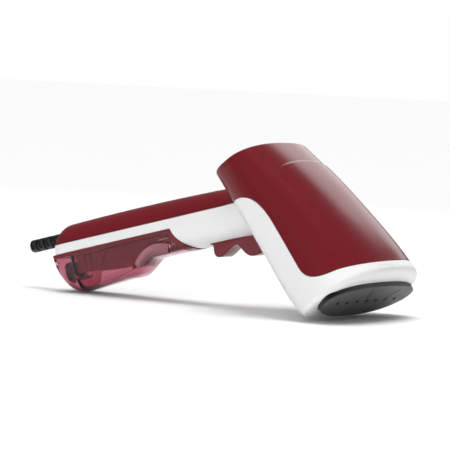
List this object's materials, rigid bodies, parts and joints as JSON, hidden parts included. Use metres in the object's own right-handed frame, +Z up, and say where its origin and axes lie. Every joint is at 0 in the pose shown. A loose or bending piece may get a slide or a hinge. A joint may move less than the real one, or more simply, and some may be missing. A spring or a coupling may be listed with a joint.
{
  "type": "garment steamer",
  "caption": "Handheld garment steamer lying down: flared barrel head with a steam plate, slim grip with a trigger, and a slide-off translucent water tank.",
  "frame": {"origin": "on the table, under the middle of the steamer's bounding box", "axes": "+Z up from the table, +X along the steamer from the cord end to the steam plate, +Y across it; the steamer's own mirror plane is Y = 0"},
  "size_m": [0.2908, 0.1186, 0.1127],
  "materials": {
    "red_gloss": "deep wine red moulded plastic, glossy",
    "white_gloss": "white moulded plastic, glossy",
    "tank_red": "translucent wine red moulded plastic, clear gloss",
    "black_plastic": "black heat-resistant plastic, satin",
    "coated_plate": "dark grey non-stick coating on aluminium, satin",
    "cast_metal": "die-cast, dull",
    "steel": "bright",
    "black_rubber": "black, dull",
    "silicone": "milky silicone, soft sheen",
    "clear_lens": "clear lens",
    "grey_plastic": "grey moulded plastic",
    "board": "green circuit board laminate",
    "winding": "enamelled copper winding"
  },
  "bodies": {
    "steamer_body": {"top_shell": "red_gloss", "handle_back_cover": "red_gloss", "front_bezel": "white_gloss", "lower_housing": "white_gloss", "handle_body": "white_gloss", "plate_rim": "black_plastic", "capacitor": "black_plastic", "micro_switch": "black_plastic", "steam_plate": "coated_plate", "steam_generator": "cast_metal", "generator_cover": "cast_metal", "thermal_fuse": "cast_metal", "heating_element": "steel", "thermostat": "steel", "grip_screw_front": "steel", "grip_screw_rear": "steel", "trigger_pin": "steel", "trigger_spring": "steel", "clamp_screw_1": "steel", "clamp_screw_2": "steel", "cord_guard": "black_rubber", "heater_lead_1": "black_rubber", "heater_lead_2": "black_rubber", "delivery_hose": "silicone", "suction_hose": "silicone", "socket_seal": "silicone", "ready_light": "clear_lens", "insulating_frame": "grey_plastic", "pump_body": "grey_plastic", "inlet_socket": "grey_plastic", "terminal_block": "grey_plastic", "cord_clamp": "grey_plastic", "circuit_board": "board", "pump_coil": "winding"},
    "trigger": {"trigger": "red_gloss"},
    "switch_plunger": {"switch_plunger": "grey_plastic"},
    "pump_piston": {"pump_piston": "steel"},
    "tank": {"tank_reservoir": "tank_red", "tank_rear_cap": "tank_red", "tank_lid": "tank_red", "pickup_tube": "silicone"},
    "filler_plug": {"filler_plug": "black_rubber"},
    "valve_plunger": {"valve_plunger": "steel"}
  },
  "joints": [
    {"name": "trigger_pull", "type": "hinge", "parent": "steamer_body", "child": "trigger", "pos_m": [0.04771, 0, 0.05439], "axis": [0, 1, 0], "range_deg": [0, 3.5], "stiffness_Nm_per_rad": 0.6, "springref_deg": -6.88},
    {"name": "switch_press", "type": "slide", "parent": "steamer_body", "child": "switch_plunger", "axis": [-0.2597, 0, 0.9657], "range_m": [0, 0.0023]},
    {"name": "pump_stroke", "type": "slide", "parent": "steamer_body", "child": "pump_piston", "axis": [0.9657, 0, 0.2597], "range_m": [-0.0015, 0.0015], "stiffness_N_per_m": 600},
    {"name": "tank_slide", "type": "slide", "parent": "steamer_body", "child": "tank", "axis": [-0.9657, 0, -0.2597], "range_m": [0, 0.13]},
    {"name": "filler_plug_pull", "type": "slide", "parent": "tank", "child": "filler_plug", "axis": [-0.9657, 0, -0.2597], "range_m": [0, 0.016]},
    {"name": "valve_press", "type": "slide", "parent": "tank", "child": "valve_plunger", "axis": [-0.9657, 0, -0.2597], "range_m": [0, 0.002], "stiffness_N_per_m": 250, "springref_m": -0.002}
  ],
  "couplings": [
    {"joint": "switch_press", "follows": "trigger_pull", "m_per_rad": 0.034}
  ]
}
